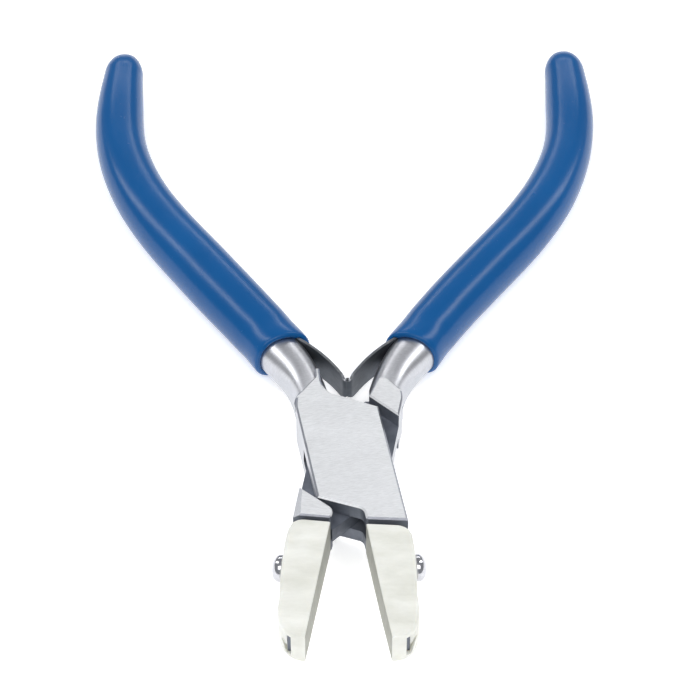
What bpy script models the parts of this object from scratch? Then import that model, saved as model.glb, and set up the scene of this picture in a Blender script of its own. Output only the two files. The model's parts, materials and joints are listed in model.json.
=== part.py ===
"""Nylon-jaw flat-nose pliers with a box joint, leaf springs and dipped grips.

The tool lies flat: handles toward +Y, jaws toward -Y, +Z up. The pivot axis is
the Z axis, and the back face of the joint is the plane z = 0. Outlines are
drawn with the pliers closed, in millimetres about the pivot, and each half is
then turned by REST_ANGLE to the open rest position.
"""

import math

import bmesh
import bpy
from mathutils import Matrix, Vector

# ---------------------------------------------------------------- dimensions
MM = 0.001

REST_ANGLE = 10.3        # half of the opening between the halves, degrees

# joint
JOINT_T = 9.6            # thickness over the cheeks
TONGUE_T = 3.2           # thickness of the tongue's middle section
LAYER_GAP = 0.06         # running gap on each face of the tongue
BODY_W = 7.2             # half width of the joint
BODY_CHAMFER = 0.4       # chamfer on the joint's edges
SHOULDER_GAP = 0.32      # gap left at the shoulders when closed
PIN_R = 2.25             # pivot rivet
PIN_FIT = 0.03           # radial gap between rivet and cheeks
PIN_RUN = 0.10           # radial gap between rivet and tongue
WALL_NEAR = 4.9          # where the slot's end walls meet the joint's sides
WALL_SLOPE = 1.45        # rise of those walls per mm of width
WALL_GAP = 0.3           # gap between the tongue and the slot's end walls

# outline of the joint, closed
TOP_EDGE_Y = 14.3        # height of the cheeks' top edge on the centreline
TOP_EDGE_SLOPE = -0.62
LOW_EDGE_Y = -12.65      # height of the cheeks' lower edge on the centreline
LOW_EDGE_SLOPE = -0.56
NECK_FLAT_OUTER = 14.4   # where the flat face ends on the outer side
NECK_FLAT_INNER = 18.6   # where it ends toward the inner side
BOX_ROOT = (-14.9, -16.6)       # end of the box half's jaw root, inner and outer
TONGUE_ROOT = (-14.7, -15.15)   # end of the tongue half's jaw root

# handles: station height, centreline distance from the middle
HANDLE_LINE = (
    (11.0, 3.6), (18.0, 3.7), (22.0, 4.3), (26.0, 5.5), (30.0, 7.0),
    (38.3, 10.6), (51.7, 16.9), (65.5, 23.2), (72.4, 25.6), (79.2, 27.1),
    (85.9, 27.75), (92.6, 27.4), (99.1, 26.3), (105.2, 25.0), (110.0, 23.8), (114.0, 22.8),
)
# steel section: station height, half width, half thickness
STEEL_SECTION = (
    (11.0, 3.1, 4.70), (16.0, 3.2, 4.70), (18.0, 3.2, 4.50), (22.0, 3.35, 4.22), (26.0, 3.85, 4.08),
    (30.0, 4.2, 3.95), (40.0, 4.1, 3.8), (65.0, 3.7, 3.5), (90.0, 3.1, 3.1),
    (107.0, 2.6, 2.6),
)
# how far the steel section lies outside the centreline: station height, distance
STEEL_SHIFT = ((11.0, 0.0), (22.0, 0.0), (26.0, 0.1), (30.0, 0.25), (40.0, 0.15), (65.0, 0.0), (107.0, 0.0))
STEEL_END = 104.5        # height at which the steel ends inside the grip
STEEL_POWER = 2.3        # roundness of the steel section

# grips
GRIP_SECTION = {         # station height, half width, half thickness
    "left": (
        (28.0, 5.45, 5.15), (38.0, 5.4, 5.15), (46.0, 5.5, 5.2), (60.0, 5.4, 5.15),
        (72.0, 5.1, 4.95), (86.0, 4.8, 4.75), (99.0, 4.45, 4.4), (107.0, 3.8, 3.9),
    ),
    "right": (
        (28.0, 5.2, 5.05), (38.0, 5.0, 5.0), (46.0, 5.05, 5.0), (60.0, 5.05, 5.0),
        (72.0, 4.9, 4.9), (86.0, 4.6, 4.7), (99.0, 4.45, 4.4), (107.0, 3.9, 3.9),
    ),
}
GRIP_MOUTH = 28.6        # height of the mouth on the handle's centreline
GRIP_TIP = 112.8         # height of the tip
GRIP_POWER = 2.25
GRIP_DOME = 6.0          # length of the rounded end
GRIP_SWEEP = 0.5         # how far the mouth leans back on its upper and lower faces
GRIP_TILT = 1.5          # how much further up the handle the mouth's outer side lies
GRIP_FIT = 0.12          # gap between grip and steel
GRIP_LIP_R = 0.55        # rounding of the mouth's rim

# leaf springs
SPRING_T = 0.5
SPRING_ROOT_HW = 3.4     # half width at the root, along the joint axis
SPRING_TIP_HW = 2.9      # half width just before the rounded tip
SPRING_HINGE_Y = 28.5    # height on the handle's centreline of the blade's root
SPRING_SEAT = 1.15       # depth of the flat that the blade sits on
SPRING_LEAVE = 31.3      # direction of the blade from its root to its tip, degrees
SPRING_REACH = 12.6      # root to tip
SPRING_BOW = 0.75        # how far the blade bows toward the handles
SPRING_TAIL = 3.4        # length of blade past the root, under the grip
SPRING_RIVET_AT = 2.0    # distance of the rivet past the root
SPRING_RIVET_R = 0.75
SPRING_RIVET_HEAD_R = 1.25
SPRING_RIVET_HEAD_T = 0.4
SPRING_SEAT_LEN = 9.0

# jaws
JAW_TIP = -39.8
# nylon outlines: station height, inner face, outer face (distances from the middle)
NYLON = {
    "left": ((-15.3, 0.62, 7.35), (-18.0, 0.62, 7.6), (-24.0, 0.62, 7.4),
             (-29.0, 0.62, 6.9), (-32.5, 0.62, 6.4)),
    "right": ((-15.7, 0.0, 7.2), (-18.0, -0.04, 7.4), (-22.0, -0.1, 7.22),
              (-27.0, -0.18, 6.6), (-31.5, -0.24, 5.75)),
}
NYLON_TOP_SLANT = {"left": 0.06, "right": 0.25}
NYLON_TIP_FLAT = {"left": 1.9, "right": 1.7}      # distance at which the tip's rounding ends
NYLON_HT = (4.2, 3.45)   # half thickness at the root and at the tip
NYLON_CORNER = 0.7       # rounding of the nylon's long edges
CORE_ROOT = (4.1, 1.9, 3.0)     # jaw blade at its root: centre, half width, half thickness
CORE_TIP_OFFSET = 2.85   # centre of the blade's tip from the gripping face
CORE_TIP = (0.26, 2.35)  # half width, half thickness
CORE_FIT = 0.12
SCREW_Y = -23.5
SCREW_HEAD_R = 2.4
SCREW_HEAD_H = 1.9
SCREW_HEAD_RIM = 0.55    # height of the head's straight rim
SCREW_R = 1.25
SCREW_END = 2.75         # distance of the screw's end from the middle
SCREW_FIT = 0.06
RECESS_R = 1.15          # cross recess
RECESS_W = 0.52
RECESS_DEPTH = 0.85

MID = JOINT_T / 2

# ---------------------------------------------------------------- collections
for old in list(bpy.data.objects):
    bpy.data.objects.remove(old, do_unlink=True)
for old in list(bpy.data.collections):
    bpy.data.collections.remove(old)

PLIERS = bpy.data.collections.new("nylon_jaw_pliers")
CUTTERS = bpy.data.collections.new("pliers_cutters")
bpy.context.scene.collection.children.link(PLIERS)
bpy.context.scene.collection.children.link(CUTTERS)
CUTTERS.hide_render = True


def material(name, colour, metallic, roughness):
    m = bpy.data.materials.new(name)
    m.use_nodes = True
    b = m.node_tree.nodes["Principled BSDF"]
    b.inputs["Base Color"].default_value = (*colour, 1.0)
    b.inputs["Metallic"].default_value = metallic
    b.inputs["Roughness"].default_value = roughness
    m.diffuse_color = (*colour, 1.0)
    return m


MATERIALS = {
    "box_half": material("brushed_steel_box", (0.62, 0.63, 0.65), 1.0, 0.32),
    "tongue_half": material("brushed_steel_tongue", (0.60, 0.61, 0.63), 1.0, 0.32),
    "pivot_pin": material("ground_steel_pin", (0.58, 0.59, 0.61), 1.0, 0.35),
    "left_grip": material("blue_pvc_left", (0.005, 0.09, 0.30), 0.0, 0.25),
    "right_grip": material("blue_pvc_right", (0.005, 0.09, 0.30), 0.0, 0.25),
    "left_spring": material("dark_spring_steel_left", (0.10, 0.11, 0.12), 1.0, 0.4),
    "right_spring": material("dark_spring_steel_right", (0.10, 0.11, 0.12), 1.0, 0.4),
    "left_spring_rivet": material("dark_rivet_left", (0.12, 0.13, 0.14), 1.0, 0.45),
    "right_spring_rivet": material("dark_rivet_right", (0.12, 0.13, 0.14), 1.0, 0.45),
    "left_nylon_jaw": material("nylon_left", (0.78, 0.78, 0.72), 0.0, 0.4),
    "right_nylon_jaw": material("nylon_right", (0.78, 0.78, 0.72), 0.0, 0.4),
    "left_jaw_screw": material("plated_screw_left", (0.72, 0.72, 0.74), 1.0, 0.18),
    "right_jaw_screw": material("plated_screw_right", (0.72, 0.72, 0.74), 1.0, 0.18),
}


# ---------------------------------------------------------------- small tools
def smooth(table, t):
    """Monotone-parameter cubic through the rows of a table, read at t."""
    rows = sorted(table)
    t = min(max(t, rows[0][0]), rows[-1][0])
    i = 0
    while i < len(rows) - 2 and t > rows[i + 1][0]:
        i += 1
    a, b = rows[i], rows[i + 1]
    before = rows[i - 1] if i > 0 else a
    after = rows[i + 2] if i + 2 < len(rows) else b
    h = b[0] - a[0]
    u = (t - a[0]) / h
    values = []
    for k in range(1, len(a)):
        da = (b[k] - before[k]) / (b[0] - before[0]) * h
        db = (after[k] - a[k]) / (after[0] - a[0]) * h
        values.append(
            (2 * u**3 - 3 * u**2 + 1) * a[k] + (u**3 - 2 * u**2 + u) * da
            + (-2 * u**3 + 3 * u**2) * b[k] + (u**3 - u**2) * db
        )
    return values


def turn(angle):
    return Matrix.Rotation(math.radians(angle), 4, "Z")


def finish(obj, name, wanted, matrix, pivot=(0.0, 0.0)):
    """Names an object, places its mesh in the world and puts its origin on its axis."""
    obj.name = name
    obj.data.name = name
    obj.data.transform(matrix)
    px, py = pivot
    obj.data.transform(Matrix.Translation((-px * MM, -py * MM, 0)))
    obj.location = (px * MM, py * MM, 0)
    for coll in list(obj.users_collection):
        coll.objects.unlink(obj)
    wanted.objects.link(obj)
    if wanted is CUTTERS:
        obj.hide_render = True
        obj.display_type = "WIRE"
    obj.data.materials.clear()
    if name in MATERIALS:
        obj.data.materials.append(MATERIALS[name])
    return obj


def mesh_object(verts, faces):
    mesh = bpy.data.meshes.new("loft")
    mesh.from_pydata(verts, [], faces)
    mesh.update()
    obj = bpy.data.objects.new("loft", mesh)
    bpy.context.scene.collection.objects.link(obj)
    return obj


def signed_volume(verts, faces):
    total = 0.0
    for f in faces:
        a = Vector(verts[f[0]])
        for i in range(1, len(f) - 1):
            total += a.dot(Vector(verts[f[i]]).cross(Vector(verts[f[i + 1]])))
    return total


def loft(rings):
    """Closed skin over equal-length rings of points in millimetres, ends capped to a point."""
    n = len(rings[0])
    verts = [tuple(c * MM for c in p) for ring in rings for p in ring]
    faces = []
    for r in range(len(rings) - 1):
        for i in range(n):
            j = (i + 1) % n
            faces.append((r * n + i, r * n + j, (r + 1) * n + j, (r + 1) * n + i))
    for r, first in ((0, True), (len(rings) - 1, False)):
        ring = rings[r]
        centre = tuple(sum(p[k] for p in ring) / n * MM for k in range(3))
        c = len(verts)
        verts.append(centre)
        for i in range(n):
            j = (i + 1) % n
            faces.append((r * n + j, r * n + i, c) if first else (r * n + i, r * n + j, c))
    if signed_volume(verts, faces) < 0:
        faces = [tuple(reversed(f)) for f in faces]
    return mesh_object(verts, faces)


def prism(points, low, high, chamfer=0.0):
    """Extruded outline between two heights, from a filled 2D curve."""
    curve = bpy.data.curves.new("outline", "CURVE")
    curve.dimensions = "2D"
    curve.fill_mode = "BOTH"
    spline = curve.splines.new("POLY")
    spline.points.add(len(points) - 1)
    for p, (x, y) in zip(spline.points, points):
        p.co = (x * MM, y * MM, 0, 1)
    spline.use_cyclic_u = True
    curve.extrude = ((high - low) / 2 - chamfer) * MM
    curve.bevel_depth = chamfer * MM
    curve.bevel_resolution = 0
    curve.offset = -chamfer * MM
    source = bpy.data.objects.new("outline", curve)
    bpy.context.scene.collection.objects.link(source)
    bpy.context.view_layer.update()
    graph = bpy.context.evaluated_depsgraph_get()
    mesh = bpy.data.meshes.new_from_object(source.evaluated_get(graph))
    bpy.data.objects.remove(source, do_unlink=True)
    bm = bmesh.new()
    bm.from_mesh(mesh)
    bmesh.ops.remove_doubles(bm, verts=bm.verts, dist=0.00001)
    bmesh.ops.recalc_face_normals(bm, faces=bm.faces)
    if bm.calc_volume(signed=True) < 0:
        bmesh.ops.reverse_faces(bm, faces=bm.faces)
    bm.to_mesh(mesh)
    bm.free()
    mesh.transform(Matrix.Translation((0, 0, (low + high) / 2 * MM)))
    obj = bpy.data.objects.new("prism", mesh)
    bpy.context.scene.collection.objects.link(obj)
    return obj


def cylinder(radius, low, high, facets=40):
    """Cylinder along Z, in millimetres, made from a filled circle."""
    ring = [
        (radius * math.cos(2 * math.pi * i / facets), radius * math.sin(2 * math.pi * i / facets))
        for i in range(facets)
    ]
    return prism(ring, low, high)


def boolean(target, operand, kind):
    mod = target.modifiers.new(kind.lower(), "BOOLEAN")
    mod.operation = kind
    mod.solver = "EXACT"
    mod.object = operand
    return mod


def superellipse(half_w, half_t, power, count):
    pts = []
    for i in range(count):
        a = 2 * math.pi * i / count
        c, s = math.cos(a), math.sin(a)
        pts.append((
            half_w * math.copysign(abs(c) ** (2 / power), c),
            half_t * math.copysign(abs(s) ** (2 / power), s),
        ))
    return pts


def arc(cx, cy, r, a0, a1, count):
    return [
        (cx + r * math.cos(math.radians(a0 + (a1 - a0) * i / (count - 1))),
         cy + r * math.sin(math.radians(a0 + (a1 - a0) * i / (count - 1))))
        for i in range(count)
    ]


def rounded(points, radii, count=5):
    """Outline with each corner replaced by an arc-like blend of the given size."""
    out = []
    n = len(points)
    for i, (p, r) in enumerate(zip(points, radii)):
        if r <= 0:
            out.append(p)
            continue
        a, b = Vector(points[i - 1]), Vector(points[(i + 1) % n])
        q = Vector(p)
        start = q + (a - q).normalized() * r
        end = q + (b - q).normalized() * r
        for k in range(count):
            t = k / (count - 1)
            out.append(tuple(start * (1 - t) ** 2 + q * 2 * t * (1 - t) + end * t * t))
    return out


# ---------------------------------------------------------------- handles
def handle_frame(y):
    """Centreline distance and heading (degrees from +Y, outward) at a height."""
    x = smooth(HANDLE_LINE, y)[0]
    ahead = smooth(HANDLE_LINE, y + 0.5)[0]
    behind = smooth(HANDLE_LINE, y - 0.5)[0]
    return x, math.degrees(math.atan2(ahead - behind, 1.0))


def handle_ring(y, half_w, half_t, power, side, count, along=0.0, sweep=0.0, tilt=0.0, shift=0.0):
    """Section ring square to the centreline; side is -1 for the left handle.

    sweep leans the ring back up the handle on its upper and lower faces, tilt on
    its outer side, and shift moves it outward."""
    x, heading = handle_frame(y)
    a = math.radians(heading)
    ring = []
    for u, v in superellipse(half_w, half_t, power, count):
        s = along + sweep * (v / half_t) ** 2 + tilt * 0.5 * (1 + u / half_w)
        u += shift
        px = x + u * math.cos(a) + s * math.sin(a)
        py = y - u * math.sin(a) + s * math.cos(a)
        ring.append((side * px, py, MID + v))
    return ring


def handle_heights(start, end, count):
    return [start + (end - start) * i / (count - 1) for i in range(count)]


def steel_handle(side, grow=0.0, start=11.0, end=STEEL_END, count=28, steps=26, power=STEEL_POWER):
    rings = []
    for y in handle_heights(start, end, steps):
        w, t = smooth(STEEL_SECTION, y)
        rings.append(handle_ring(y, w + grow, t + grow, power, side, count,
                                 shift=smooth(STEEL_SHIFT, y)[0]))
    w, t = smooth(STEEL_SECTION, end)
    for k in (1, 2, 3):
        f = math.cos(math.radians(27 * k))
        rings.append(handle_ring(end, (w + grow) * f, (t + grow) * f, power, side, count,
                                 along=(w * 0.6 + grow) * math.sin(math.radians(27 * k))))
    return loft(rings)


def grip_body(side, name, count=32, steps=34):
    rings = []
    lip = GRIP_LIP_R
    w, t = smooth(GRIP_SECTION[name], GRIP_MOUTH)
    for k in range(4):
        a = math.radians(90 * k / 3)
        rings.append(handle_ring(GRIP_MOUTH, w - lip * (1 - math.sin(a)), t - lip * (1 - math.sin(a)),
                                 GRIP_POWER, side, count, along=-lip * math.cos(a), sweep=GRIP_SWEEP,
                                 tilt=GRIP_TILT))
    start, end = GRIP_MOUTH + 2.5, GRIP_TIP - GRIP_DOME
    for y in handle_heights(start, end, steps):
        w, t = smooth(GRIP_SECTION[name], y)
        rings.append(handle_ring(y, w, t, GRIP_POWER, side, count,
                                 sweep=GRIP_SWEEP * max(0.0, 1 - (y - start) / 12),
                                 tilt=GRIP_TILT * max(0.0, 1 - (y - start) / 12)))
    w, t = smooth(GRIP_SECTION[name], end)
    for k in range(1, 6):
        a = math.radians(90 * k / 6)
        rings.append(handle_ring(end, w * math.cos(a), t * math.cos(a), GRIP_POWER, side, count,
                                 along=GRIP_DOME * math.sin(a)))
    return loft(rings)


def spring_root(side):
    """Hinge point of a blade and the handle's heading there, closed."""
    x, heading = handle_frame(SPRING_HINGE_Y)
    w = smooth(STEEL_SECTION, SPRING_HINGE_Y)[0]
    off = w - smooth(STEEL_SHIFT, SPRING_HINGE_Y)[0] - SPRING_SEAT + SPRING_T / 2 + 0.08
    a = math.radians(heading)
    return (side * (x - off * math.cos(a)), SPRING_HINGE_Y + off * math.sin(a)), heading


# ---------------------------------------------------------------- joint outlines
def top_edge(x):
    return TOP_EDGE_Y + TOP_EDGE_SLOPE * x


def low_edge(x):
    return LOW_EDGE_Y + LOW_EDGE_SLOPE * x


def box_outline():
    """Cheeks, neck flat and jaw root of the box half; its handle is on the left."""
    w = BODY_W
    points = [
        (-w, low_edge(-w)), (-w, NECK_FLAT_OUTER), (-2.7, NECK_FLAT_INNER), (-1.75, NECK_FLAT_INNER + 0.9),
        (-0.85, top_edge(-0.85)), (w, top_edge(w)), (w, BOX_ROOT[1]), (0.2, BOX_ROOT[0]),
        (0.15, low_edge(0.15)),
    ]
    return rounded(points, (0, 0.6, 0.6, 0.4, 1.3, 0, 0, 0.4, 0.9))


def neck_outline():
    """Flat of the tongue half above its shoulder; its handle is on the right."""
    w = BODY_W
    g = SHOULDER_GAP
    points = [
        (1.25, top_edge(1.25) + g), (w, top_edge(w) + g), (w, NECK_FLAT_OUTER + 0.9),
        (3.6, NECK_FLAT_INNER + 0.6), (2.3, NECK_FLAT_INNER + 0.6),
    ]
    return rounded(points, (0, 0, 0.6, 0.6, 0.5))


def ear_outline():
    """Jaw root of the tongue half, below its lower shoulder."""
    w = BODY_W
    g = SHOULDER_GAP
    points = [
        (-w, low_edge(-w) - g), (-w, TONGUE_ROOT[1]), (-0.6, TONGUE_ROOT[0]), (-0.5, low_edge(-0.5) - g),
    ]
    return rounded(points, (0, 0, 0.5, 1.2))


def wall_y(x, sign, gap=0.0):
    """Height of the slot's end wall: sign +1 on the left above, -1 on the right below."""
    far = gap * math.hypot(1.0, WALL_SLOPE)
    return sign * (WALL_NEAR + WALL_SLOPE * (BODY_W + sign * x) - far)


def slot_outline():
    w = BODY_W + 3.0
    up, down = -0.2, 0.2
    return [
        (-w, wall_y(-BODY_W, 1) - WALL_SLOPE * 3.0), (up, wall_y(up, 1)), (up + 2.0, wall_y(up, 1) + 12.0),
        (w, wall_y(up, 1) + 12.0),
        (w, wall_y(BODY_W, -1) + WALL_SLOPE * 3.0), (down, wall_y(down, -1)),
        (down - 2.0, wall_y(down, -1) - 12.0), (-w, wall_y(down, -1) - 12.0),
    ]


def tongue_outline():
    w = BODY_W
    up, down = 0.35, -0.35
    return [
        (-w, wall_y(-w, 1, WALL_GAP)), (up, wall_y(up, 1, WALL_GAP) - 0.3), (1.35, 15.2), (3.0, 15.6), (w, 15.0),
        (w, wall_y(w, -1, WALL_GAP)), (down, wall_y(down, -1, WALL_GAP) + 0.3), (-0.9, -14.3), (-w, -14.6),
    ]


# ---------------------------------------------------------------- jaws
def core_section(y, name):
    """Steel jaw blade: centre, half width and half thickness at a height."""
    t = (y - (-13.0)) / (JAW_TIP + 13.0)
    rows = NYLON[name]
    tip_centre = rows[-1][1] + CORE_TIP_OFFSET
    c = CORE_ROOT[0] + (tip_centre - CORE_ROOT[0]) * t
    w = CORE_ROOT[1] + (CORE_TIP[0] - CORE_ROOT[1]) * t
    h = CORE_ROOT[2] + (CORE_TIP[1] - CORE_ROOT[2]) * t
    return c, w, h


def core_loft(name, side, grow=0.0, start=-13.0, end=JAW_TIP + 0.15):
    rings = []
    for i in range(3):
        y = start + (end - start) * i / 2
        c, w, h = core_section(y, name)
        ring = []
        for u, v in ((1, 1), (-1, 1), (-1, -1), (1, -1)):
            ring.append((side * (c + u * (w + grow)), y, MID + v * (h + grow)))
        rings.append(ring)
    return loft(rings)


def nylon_profile(name):
    """Stations from root to tip: height, inner face, outer face."""
    rows = [tuple(r) for r in NYLON[name]]
    start = rows[0]
    stations = []
    # rounded outer corner at the root
    r = 1.3
    for k in range(4):
        a = math.radians(90 * k / 3)
        stations.append((start[0] - r * (1 - math.cos(a)), start[1], start[2] - r * (1 - math.sin(a))))
    for y in (-18.0, -20.0, -22.0, -24.0, -26.0, -28.0, -30.0):
        if y > rows[-1][0]:
            inner, outer = smooth([(-row[0], row[1], row[2]) for row in rows], -y)
            stations.append((y, inner, outer))
    # tip: elliptical rounding of the outer corner
    y0, inner0, outer0 = rows[-1]
    flat = NYLON_TIP_FLAT[name]
    steps = 9
    for k in range(steps + 1):
        a = math.radians(90 * k / steps)
        y = y0 + (JAW_TIP - y0) * math.sin(a) ** 1.0
        x = flat + (outer0 - flat) * math.cos(a) ** 0.9 if k < steps else flat
        stations.append((y, inner0, x))
    return stations


def rounded_box_ring(inner, outer, half_t, y, side, corner, slant, fade):
    pts = []
    r = min(corner, (outer - inner) * 0.45, half_t * 0.8)
    for cx, cz, a0 in (
        (outer - r, half_t - r, 0), (inner + r, half_t - r, 90),
        (inner + r, -half_t + r, 180), (outer - r, -half_t + r, 270),
    ):
        for k in range(5):
            a = math.radians(a0 + 90 * k / 4)
            x = cx + r * math.cos(a)
            z = cz + r * math.sin(a)
            pts.append((side * x, y - slant * fade * (x - inner), MID + z))
    return pts


def nylon_body(name, side):
    rings = []
    for y, inner, outer in nylon_profile(name):
        t = (y - NYLON[name][0][0]) / (JAW_TIP - NYLON[name][0][0])
        half_t = NYLON_HT[0] + (NYLON_HT[1] - NYLON_HT[0]) * t
        fade = max(0.0, 1 - (NYLON[name][0][0] - y) / 5.0)
        rings.append(rounded_box_ring(inner, outer, half_t, y, side, NYLON_CORNER,
                                      NYLON_TOP_SLANT[name], fade))
    return loft(rings)


def screw_seat(name):
    """Distance of the nylon's outer face from the middle at the screw, and its lean."""
    rows = [(-row[0], row[2]) for row in NYLON[name]]
    here = smooth(rows, -SCREW_Y)[0]
    ahead = smooth(rows, -SCREW_Y + 1.0)[0]
    behind = smooth(rows, -SCREW_Y - 1.0)[0]
    return here, math.degrees(math.atan2(behind - ahead, 2.0))


def screw_matrix(name, side):
    """Places a screw drawn along +Z with its head's seat at the origin."""
    here, lean = screw_seat(name)
    out = Matrix.Rotation(math.radians(side * 90.0), 4, "Y")
    tip = Matrix.Rotation(math.radians(-side * lean), 4, "Z")
    return Matrix.Translation((side * (here + 0.05) * MM, SCREW_Y * MM, MID * MM)) @ tip @ out


def screw_length(name):
    return screw_seat(name)[0] - SCREW_END


def screw_profile(name):
    """Half outline of the pan head and shank, revolved by a Screw modifier."""
    depth = screw_length(name)
    rim = SCREW_HEAD_RIM
    pts = [(0.0, -depth), (SCREW_R - 0.3, -depth), (SCREW_R, -depth + 0.4), (SCREW_R, -0.02), (SCREW_R, 0.0),
           (SCREW_HEAD_R - 0.1, 0.0), (SCREW_HEAD_R, 0.12), (SCREW_HEAD_R, rim)]
    for k in range(1, 6):
        a = math.radians(90 * k / 6)
        pts.append((SCREW_HEAD_R * math.cos(a) ** 0.8, rim + (SCREW_HEAD_H - rim) * math.sin(a)))
    pts.append((0.0, SCREW_HEAD_H))
    return pts


def revolved(points, facets):
    """Solid of revolution about Z from a half outline in millimetres."""
    mesh = bpy.data.meshes.new("half")
    mesh.from_pydata([(x * MM, 0, z * MM) for x, z in points], [(i, i + 1) for i in range(len(points) - 1)], [])
    obj = bpy.data.objects.new("half", mesh)
    bpy.context.scene.collection.objects.link(obj)
    mod = obj.modifiers.new("turned", "SCREW")
    mod.angle = 2 * math.pi
    mod.steps = facets
    mod.render_steps = facets
    mod.axis = "Z"
    mod.use_merge_vertices = True
    mod.merge_threshold = 0.00001
    mod.use_normal_calculate = True
    bpy.context.view_layer.update()
    graph = bpy.context.evaluated_depsgraph_get()
    solid = bpy.data.meshes.new_from_object(obj.evaluated_get(graph))
    bpy.data.objects.remove(obj, do_unlink=True)
    bm = bmesh.new()
    bm.from_mesh(solid)
    bmesh.ops.remove_doubles(bm, verts=bm.verts, dist=0.00001)
    bmesh.ops.recalc_face_normals(bm, faces=bm.faces)
    if bm.calc_volume(signed=True) < 0:
        bmesh.ops.reverse_faces(bm, faces=bm.faces)
    bm.to_mesh(solid)
    bm.free()
    out = bpy.data.objects.new("turned", solid)
    bpy.context.scene.collection.objects.link(out)
    return out


# ---------------------------------------------------------------- springs
def spring_line(side):
    """Blade centreline from the tail to the tip, closed, with half widths."""
    (hx, hy), heading = spring_root(side)
    a = math.radians(heading)
    rows = []
    for s in (SPRING_TAIL, SPRING_TAIL * 0.5):
        rows.append((hx + side * s * math.sin(a), hy + s * math.cos(a), SPRING_ROOT_HW))
    b = math.radians(SPRING_LEAVE)
    steps = 12
    for k in range(steps + 1):
        t = k / steps
        along = SPRING_REACH * t
        bow = SPRING_BOW * 4 * t * (1 - t)
        x = hx - side * (along * math.sin(b) + bow * math.cos(b))
        y = hy - along * math.cos(b) + bow * math.sin(b)
        rows.append((x, y, SPRING_ROOT_HW + (SPRING_TIP_HW - SPRING_ROOT_HW) * t))
    return rows


def spring_blade(side):
    rows = spring_line(side)
    # rounded corners of the free end
    x0, y0, w0 = rows[-1]
    x1, y1, _ = rows[-2]
    d = Vector((x0 - x1, y0 - y1)).normalized()
    rows[-1] = (x0 - d.x * 1.0, y0 - d.y * 1.0, w0)
    rows.append((x0 - d.x * 0.35, y0 - d.y * 0.35, w0 - 0.35))
    rows.append((x0, y0, w0 - 1.0))
    rings = []
    for i, (x, y, w) in enumerate(rows):
        a = rows[max(i - 1, 0)]
        b = rows[min(i + 1, len(rows) - 1)]
        t = Vector((b[0] - a[0], b[1] - a[1])).normalized()
        n = Vector((-t.y, t.x)) * (SPRING_T / 2)
        rings.append([
            (x + n.x, y + n.y, MID + w), (x - n.x, y - n.y, MID + w),
            (x - n.x, y - n.y, MID - w), (x + n.x, y + n.y, MID - w),
        ])
    return loft(rings)


def seat_matrix(side, along):
    """Frame on a spring seat: origin on the blade's mid surface, +Z away from the handle."""
    (hx, hy), heading = spring_root(side)
    a = math.radians(heading)
    x = hx + side * along * math.sin(a)
    y = hy + along * math.cos(a)
    toward = math.atan2(math.sin(a), -side * math.cos(a))
    return (Matrix.Translation((x * MM, y * MM, MID * MM)) @ Matrix.Rotation(toward, 4, "Z")
            @ Matrix.Rotation(math.radians(90), 4, "Y"))


def seat_cutter(side):
    """Block that leaves a flat on the inner side of a handle for the blade."""
    (hx, hy), heading = spring_root(side)
    a = math.radians(heading)
    u = Vector((side * math.sin(a), math.cos(a)))
    n = Vector((-side * math.cos(a), math.sin(a)))
    under = SPRING_T / 2 + 0.08
    top = Vector((hx, hy)) + u * SPRING_SEAT_LEN
    p = [top + n * 4, top - n * under, Vector((hx, hy)) - n * under]
    rows = spring_line(side)
    for i in range(3, 8):
        q, r = Vector(rows[i][:2]), Vector(rows[i + 1][:2])
        t = (r - q).normalized()
        away = Vector((t.y, -t.x)) * side
        p.append((q + r) / 2 - away * (under + 0.02))
    p.append(p[-1] + n * 5)
    return prism([tuple(q) for q in p], MID - 6.0, MID + 6.0)


def blade_pocket(side, room=0.15, rows_used=7):
    """Slot in a grip around the hidden part of a blade."""
    rows = [Vector(r[:2]) for r in spring_line(side)[:rows_used]]
    rows[0] = rows[0] + (rows[0] - rows[1]).normalized() * 0.3
    one, other = [], []
    for i, q in enumerate(rows):
        t = (rows[min(i + 1, len(rows) - 1)] - rows[max(i - 1, 0)]).normalized()
        n = Vector((-t.y, t.x)) * (SPRING_T / 2 + room)
        one.append(tuple(q + n))
        other.append(tuple(q - n))
    return prism(one + other[::-1], MID - SPRING_ROOT_HW - room, MID + SPRING_ROOT_HW + room)


# ---------------------------------------------------------------- assembly
BOX_TURN = turn(REST_ANGLE)
TONGUE_TURN = turn(-REST_ANGLE)
LOW, HIGH = 0.0, JOINT_T
SLOT_LOW = MID - TONGUE_T / 2 - LAYER_GAP
SLOT_HIGH = MID + TONGUE_T / 2 + LAYER_GAP


def screw_hole(name, side, radius, extra):
    """Round cutter on a screw's axis, from its end to above the head's seat."""
    obj = cylinder(radius, -(screw_length(name) + extra), 1.0, facets=24)
    obj.data.transform(screw_matrix(name, side))
    return obj


# box half: handle on the left, jaw on the right
box = finish(prism(box_outline(), LOW, HIGH, BODY_CHAMFER), "box_half", PLIERS, BOX_TURN)
boolean(box, finish(steel_handle(-1), "box_handle", CUTTERS, BOX_TURN), "UNION")
boolean(box, finish(core_loft("right", 1), "box_jaw_blade", CUTTERS, BOX_TURN), "UNION")
boolean(box, finish(prism(slot_outline(), SLOT_LOW, SLOT_HIGH), "box_slot", CUTTERS, BOX_TURN), "DIFFERENCE")
boolean(box, finish(cylinder(PIN_R + PIN_FIT, LOW - 1, HIGH + 1), "box_bore", CUTTERS, BOX_TURN), "DIFFERENCE")
boolean(box, finish(screw_hole("right", 1, SCREW_R + SCREW_FIT, 0.3), "box_screw_hole", CUTTERS, BOX_TURN), "DIFFERENCE")
boolean(box, finish(seat_cutter(-1), "box_spring_seat", CUTTERS, BOX_TURN), "DIFFERENCE")

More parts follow.
